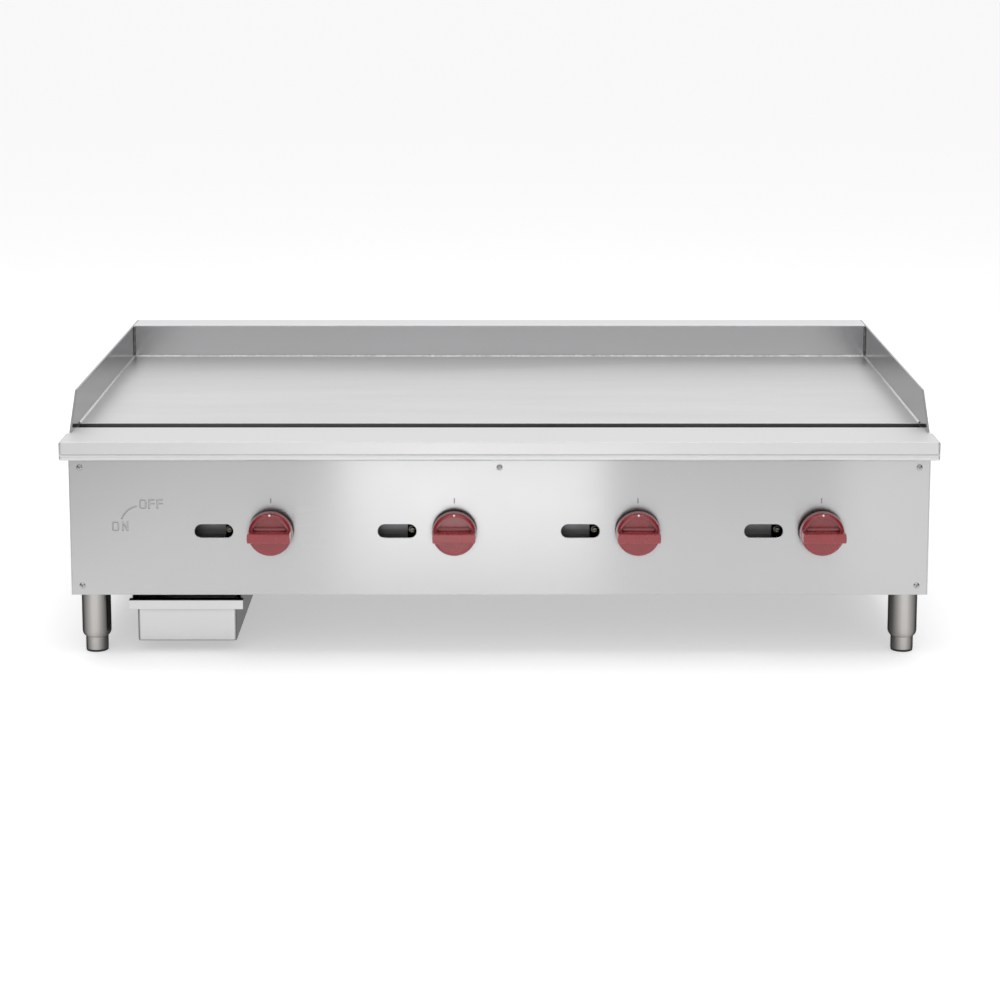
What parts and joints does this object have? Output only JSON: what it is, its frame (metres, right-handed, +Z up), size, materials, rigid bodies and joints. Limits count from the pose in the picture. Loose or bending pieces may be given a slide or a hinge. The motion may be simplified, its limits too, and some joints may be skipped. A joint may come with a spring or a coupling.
{
  "type": "flat top griddle",
  "caption": "Countertop gas griddle: flat steel plate with splash guards and grease gutter over a brushed steel cabinet with red knobs, lighting slots, grease tray and short legs.",
  "frame": {"origin": "centre of the overall footprint, on the surface under the feet", "axes": "+X along the front to the user's right, +Y to the back, +Z up; the controls face -Y"},
  "size_m": [1.219, 0.765, 0.374],
  "materials": {
    "stainless_sheet": "horizontally brushed, satin",
    "splash_steel": "lengthwise brushed, satin",
    "plate_steel": "ground and polished",
    "gutter_steel": "brushed, greasy",
    "weld_steel": "rippled weld, wire brushed",
    "leg_steel": "drawn tube, satin",
    "screw_steel": "machined",
    "knob_red": "gloss moulded",
    "brass_fittings": "machined",
    "valve_aluminium": "die cast",
    "burner_steel": "aluminised, dull",
    "zinc_sheet": "galvanised",
    "pipe_black": "black pipe",
    "pad_rubber": "matte"
  },
  "bodies": {
    "cabinet": {"back_splash": "splash_steel", "bottom_pan": "zinc_sheet", "burner_1": "burner_steel", "burner_2": "burner_steel", "burner_3": "burner_steel", "burner_4": "burner_steel", "burner_rest": "zinc_sheet", "front_panel": "stainless_sheet", "front_rail": "stainless_sheet", "gas_inlet": "pipe_black", "gas_manifold": "pipe_black", "gas_valve_1": "valve_aluminium", "gas_valve_2": "valve_aluminium", "gas_valve_3": "valve_aluminium", "gas_valve_4": "valve_aluminium", "grease_chute": "gutter_steel", "grease_gutter": "gutter_steel", "griddle_plate": "plate_steel", "heat_baffle": "zinc_sheet", "leg_front_left": "leg_steel", "leg_front_right": "leg_steel", "leg_rear_left": "leg_steel", "leg_rear_right": "leg_steel", "orifice_hoods": "brass_fittings", "panel_cross_member": "zinc_sheet", "panel_screws": "screw_steel", "pilot_burners": "zinc_sheet", "pilot_shield": "zinc_sheet", "pilot_valves": "brass_fittings", "plate_supports": "zinc_sheet", "rail_end_left": "stainless_sheet", "rail_end_right": "stainless_sheet", "rear_panel": "stainless_sheet", "side_panel_left": "stainless_sheet", "side_panel_right": "stainless_sheet", "side_splash_left": "splash_steel", "side_splash_right": "splash_steel", "splash_weld": "weld_steel", "tray_rails": "zinc_sheet"},
    "control_1": {"knob_1": "knob_red", "valve_stem_1": "brass_fittings"},
    "shutter_1": {"air_shutter_1": "zinc_sheet"},
    "control_2": {"knob_2": "knob_red", "valve_stem_2": "brass_fittings"},
    "shutter_2": {"air_shutter_2": "zinc_sheet"},
    "control_3": {"knob_3": "knob_red", "valve_stem_3": "brass_fittings"},
    "shutter_3": {"air_shutter_3": "zinc_sheet"},
    "control_4": {"knob_4": "knob_red", "valve_stem_4": "brass_fittings"},
    "shutter_4": {"air_shutter_4": "zinc_sheet"},
    "tray": {"grease_tray": "stainless_sheet"},
    "adjuster_front_left": {"foot_front_left": "leg_steel", "foot_pad_front_left": "pad_rubber"},
    "adjuster_front_right": {"foot_front_right": "leg_steel", "foot_pad_front_right": "pad_rubber"},
    "adjuster_rear_left": {"foot_rear_left": "leg_steel", "foot_pad_rear_left": "pad_rubber"},
    "adjuster_rear_right": {"foot_rear_right": "leg_steel", "foot_pad_rear_right": "pad_rubber"}
  },
  "joints": [
    {"name": "knob_1_turn", "type": "hinge", "parent": "cabinet", "child": "control_1", "pos_m": [-0.3212, -0.3375, 0.185], "axis": [0, -1, 0], "range_deg": [0, 90]},
    {"name": "knob_2_turn", "type": "hinge", "parent": "cabinet", "child": "control_2", "pos_m": [-0.0634, -0.3375, 0.185], "axis": [0, -1, 0], "range_deg": [0, 90]},
    {"name": "knob_3_turn", "type": "hinge", "parent": "cabinet", "child": "control_3", "pos_m": [0.1944, -0.3375, 0.185], "axis": [0, -1, 0], "range_deg": [0, 90]},
    {"name": "knob_4_turn", "type": "hinge", "parent": "cabinet", "child": "control_4", "pos_m": [0.4522, -0.3375, 0.185], "axis": [0, -1, 0], "range_deg": [0, 90]},
    {"name": "shutter_1_turn", "type": "hinge", "parent": "cabinet", "child": "shutter_1", "pos_m": [-0.3212, -0.2695, 0.185], "axis": [0, 1, 0], "range_deg": [0, 60]},
    {"name": "shutter_2_turn", "type": "hinge", "parent": "cabinet", "child": "shutter_2", "pos_m": [-0.0634, -0.2695, 0.185], "axis": [0, 1, 0], "range_deg": [0, 60]},
    {"name": "shutter_3_turn", "type": "hinge", "parent": "cabinet", "child": "shutter_3", "pos_m": [0.1944, -0.2695, 0.185], "axis": [0, 1, 0], "range_deg": [0, 60]},
    {"name": "shutter_4_turn", "type": "hinge", "parent": "cabinet", "child": "shutter_4", "pos_m": [0.4522, -0.2695, 0.185], "axis": [0, 1, 0], "range_deg": [0, 60]},
    {"name": "tray_slide", "type": "slide", "parent": "cabinet", "child": "tray", "axis": [0, -1, 0], "range_m": [0, 0.3]},
    {"name": "foot_front_left_screw", "type": "slide", "parent": "cabinet", "child": "adjuster_front_left", "axis": [0, 0, -1], "range_m": [0, 0.018]},
    {"name": "foot_front_right_screw", "type": "slide", "parent": "cabinet", "child": "adjuster_front_right", "axis": [0, 0, -1], "range_m": [0, 0.018]},
    {"name": "foot_rear_left_screw", "type": "slide", "parent": "cabinet", "child": "adjuster_rear_left", "axis": [0, 0, -1], "range_m": [0, 0.018]},
    {"name": "foot_rear_right_screw", "type": "slide", "parent": "cabinet", "child": "adjuster_rear_right", "axis": [0, 0, -1], "range_m": [0, 0.018]}
  ]
}
